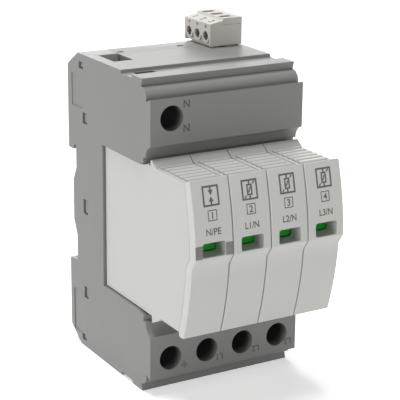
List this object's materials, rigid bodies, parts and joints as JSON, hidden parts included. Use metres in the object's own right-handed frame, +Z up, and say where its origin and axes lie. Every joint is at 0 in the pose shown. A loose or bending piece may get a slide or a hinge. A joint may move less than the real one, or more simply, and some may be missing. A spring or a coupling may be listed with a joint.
{
  "type": "din rail surge arrester",
  "caption": "Grey rail-mounted surge arrester base with screw terminals, light grey plug-in protection modules with green status windows, and a pluggable signal connector on top.",
  "frame": {"origin": "on the front plane of the rail's flanges, at mid-width, on the rail's centre line", "axes": "+X across the poles to the viewer's right, -Y out of the front, +Z up"},
  "size_m": [0.0514, 0.0783, 0.1046],
  "materials": {
    "housing": "mid grey moulded polyamide, fine matt grain",
    "cover": "mid grey moulded polyamide, fine matt grain",
    "foot": "dark grey moulded polyamide",
    "copper": "stamped copper alloy",
    "zinc": "zinc plated steel",
    "shell": "light grey moulded plastic, fine matt grain",
    "cap": "light grey moulded plastic, fine matt grain",
    "blade": "tin plated copper alloy",
    "ceramic": "white ceramic tube with plain metal ends",
    "coating": "epoxy coated oxide ceramic",
    "flag": "green moulded plastic",
    "dark_plastic": "dark grey moulded plastic",
    "bar_plastic": "natural moulded plastic",
    "signal": "warm light grey moulded plastic"
  },
  "bodies": {
    "base": {"base_housing": "housing", "rear_cover": "cover", "neutral_busbar": "copper", "upper_contact_1": "copper", "upper_contact_2": "copper", "upper_contact_3": "copper", "upper_contact_4": "copper", "lower_contact_1": "copper", "lower_contact_2": "copper", "lower_contact_3": "copper", "lower_contact_4": "copper", "signal_header": "dark_plastic", "signal_pins": "zinc", "signal_switch": "dark_plastic"},
    "foot": {"rail_foot": "foot"},
    "screw_n": {"terminal_screw_n": "zinc"},
    "clamp_n": {"clamp_cage_n": "zinc"},
    "screw_pe": {"terminal_screw_pe": "zinc"},
    "clamp_pe": {"clamp_cage_pe": "zinc"},
    "screw_l1": {"terminal_screw_l1": "zinc"},
    "clamp_l1": {"clamp_cage_l1": "zinc"},
    "screw_l2": {"terminal_screw_l2": "zinc"},
    "clamp_l2": {"clamp_cage_l2": "zinc"},
    "screw_l3": {"terminal_screw_l3": "zinc"},
    "clamp_l3": {"clamp_cage_l3": "zinc"},
    "plug_1": {"plug_shell_1": "shell", "plug_cap_1": "cap", "upper_blade_1": "blade", "lower_blade_1": "blade", "spark_gap": "ceramic"},
    "flag_1": {"status_flag_1": "flag"},
    "plug_2": {"plug_shell_2": "shell", "plug_cap_2": "cap", "upper_blade_2": "blade", "lower_blade_2": "blade", "varistor_2": "coating"},
    "flag_2": {"status_flag_2": "flag"},
    "plug_3": {"plug_shell_3": "shell", "plug_cap_3": "cap", "upper_blade_3": "blade", "lower_blade_3": "blade", "varistor_3": "coating"},
    "flag_3": {"status_flag_3": "flag"},
    "plug_4": {"plug_shell_4": "shell", "plug_cap_4": "cap", "upper_blade_4": "blade", "lower_blade_4": "blade", "varistor_4": "coating"},
    "flag_4": {"status_flag_4": "flag"},
    "signal_bar": {"signal_bar": "bar_plastic"},
    "signal_plug": {"signal_plug": "signal", "signal_sockets": "copper"},
    "signal_screw_1": {"signal_screw_1": "zinc"},
    "signal_clamp_1": {"signal_clamp_1": "zinc"},
    "signal_screw_2": {"signal_screw_2": "zinc"},
    "signal_clamp_2": {"signal_clamp_2": "zinc"},
    "signal_screw_3": {"signal_screw_3": "zinc"},
    "signal_clamp_3": {"signal_clamp_3": "zinc"}
  },
  "joints": [
    {"name": "foot_slide", "type": "slide", "parent": "base", "child": "foot", "axis": [0, 0, -1], "range_m": [0, 0.003]},
    {"name": "screw_n_turn", "type": "hinge", "parent": "base", "child": "screw_n", "pos_m": [-0.01875, -0.03, 0.0366], "axis": [0, 1, 0], "range_deg": [0, 2880]},
    {"name": "clamp_n_slide", "type": "slide", "parent": "base", "child": "clamp_n", "axis": [0, -1, 0], "range_m": [0, 0.0064]},
    {"name": "screw_pe_turn", "type": "hinge", "parent": "base", "child": "screw_pe", "pos_m": [-0.01875, -0.03, -0.0366], "axis": [0, 1, 0], "range_deg": [0, 2880]},
    {"name": "clamp_pe_slide", "type": "slide", "parent": "base", "child": "clamp_pe", "axis": [0, -1, 0], "range_m": [0, 0.0064]},
    {"name": "screw_l1_turn", "type": "hinge", "parent": "base", "child": "screw_l1", "pos_m": [-0.00625, -0.03, -0.0366], "axis": [0, 1, 0], "range_deg": [0, 2880]},
    {"name": "clamp_l1_slide", "type": "slide", "parent": "base", "child": "clamp_l1", "axis": [0, -1, 0], "range_m": [0, 0.0064]},
    {"name": "screw_l2_turn", "type": "hinge", "parent": "base", "child": "screw_l2", "pos_m": [0.00625, -0.03, -0.0366], "axis": [0, 1, 0], "range_deg": [0, 2880]},
    {"name": "clamp_l2_slide", "type": "slide", "parent": "base", "child": "clamp_l2", "axis": [0, -1, 0], "range_m": [0, 0.0064]},
    {"name": "screw_l3_turn", "type": "hinge", "parent": "base", "child": "screw_l3", "pos_m": [0.01875, -0.03, -0.0366], "axis": [0, 1, 0], "range_deg": [0, 2880]},
    {"name": "clamp_l3_slide", "type": "slide", "parent": "base", "child": "clamp_l3", "axis": [0, -1, 0], "range_m": [0, 0.0064]},
    {"name": "plug_1_pull", "type": "slide", "parent": "base", "child": "plug_1", "axis": [0, -1, 0], "range_m": [0, 0.045]},
    {"name": "flag_1_drop", "type": "slide", "parent": "plug_1", "child": "flag_1", "axis": [0, 0, -1], "range_m": [0, 0.006]},
    {"name": "plug_2_pull", "type": "slide", "parent": "base", "child": "plug_2", "axis": [0, -1, 0], "range_m": [0, 0.045]},
    {"name": "flag_2_drop", "type": "slide", "parent": "plug_2", "child": "flag_2", "axis": [0, 0, -1], "range_m": [0, 0.006]},
    {"name": "plug_3_pull", "type": "slide", "parent": "base", "child": "plug_3", "axis": [0, -1, 0], "range_m": [0, 0.045]},
    {"name": "flag_3_drop", "type": "slide", "parent": "plug_3", "child": "flag_3", "axis": [0, 0, -1], "range_m": [0, 0.006]},
    {"name": "plug_4_pull", "type": "slide", "parent": "base", "child": "plug_4", "axis": [0, -1, 0], "range_m": [0, 0.045]},
    {"name": "flag_4_drop", "type": "slide", "parent": "plug_4", "child": "flag_4", "axis": [0, 0, -1], "range_m": [0, 0.006]},
    {"name": "signal_bar_slide", "type": "slide", "parent": "base", "child": "signal_bar", "axis": [0, -1, 0], "range_m": [0, 0.0024]},
    {"name": "signal_plug_pull", "type": "slide", "parent": "base", "child": "signal_plug", "axis": [0, 0, 1], "range_m": [0, 0.012]},
    {"name": "signal_screw_1_turn", "type": "hinge", "parent": "signal_plug", "child": "signal_screw_1", "pos_m": [0.016, -0.00202, 0.0512], "axis": [1, 0, 0], "range_deg": [0, 1440]},
    {"name": "signal_clamp_1_slide", "type": "slide", "parent": "signal_plug", "child": "signal_clamp_1", "axis": [-1, 0, 0], "range_m": [0, 0.0018]},
    {"name": "signal_screw_2_turn", "type": "hinge", "parent": "signal_plug", "child": "signal_screw_2", "pos_m": [0.016, -0.0071, 0.0512], "axis": [1, 0, 0], "range_deg": [0, 1440]},
    {"name": "signal_clamp_2_slide", "type": "slide", "parent": "signal_plug", "child": "signal_clamp_2", "axis": [-1, 0, 0], "range_m": [0, 0.0018]},
    {"name": "signal_screw_3_turn", "type": "hinge", "parent": "signal_plug", "child": "signal_screw_3", "pos_m": [0.016, -0.01218, 0.0512], "axis": [1, 0, 0], "range_deg": [0, 1440]},
    {"name": "signal_clamp_3_slide", "type": "slide", "parent": "signal_plug", "child": "signal_clamp_3", "axis": [-1, 0, 0], "range_m": [0, 0.0018]}
  ],
  "couplings": [
    {"joint": "screw_n_turn", "follows": "clamp_n_slide", "rad_per_m": 7853.9},
    {"joint": "screw_pe_turn", "follows": "clamp_pe_slide", "rad_per_m": 7853.9},
    {"joint": "screw_l1_turn", "follows": "clamp_l1_slide", "rad_per_m": 7853.9},
    {"joint": "screw_l2_turn", "follows": "clamp_l2_slide", "rad_per_m": 7853.9},
    {"joint": "screw_l3_turn", "follows": "clamp_l3_slide", "rad_per_m": 7853.9},
    {"joint": "signal_screw_1_turn", "follows": "signal_clamp_1_slide", "rad_per_m": 13963},
    {"joint": "signal_screw_2_turn", "follows": "signal_clamp_2_slide", "rad_per_m": 13963},
    {"joint": "signal_screw_3_turn", "follows": "signal_clamp_3_slide", "rad_per_m": 13963}
  ]
}
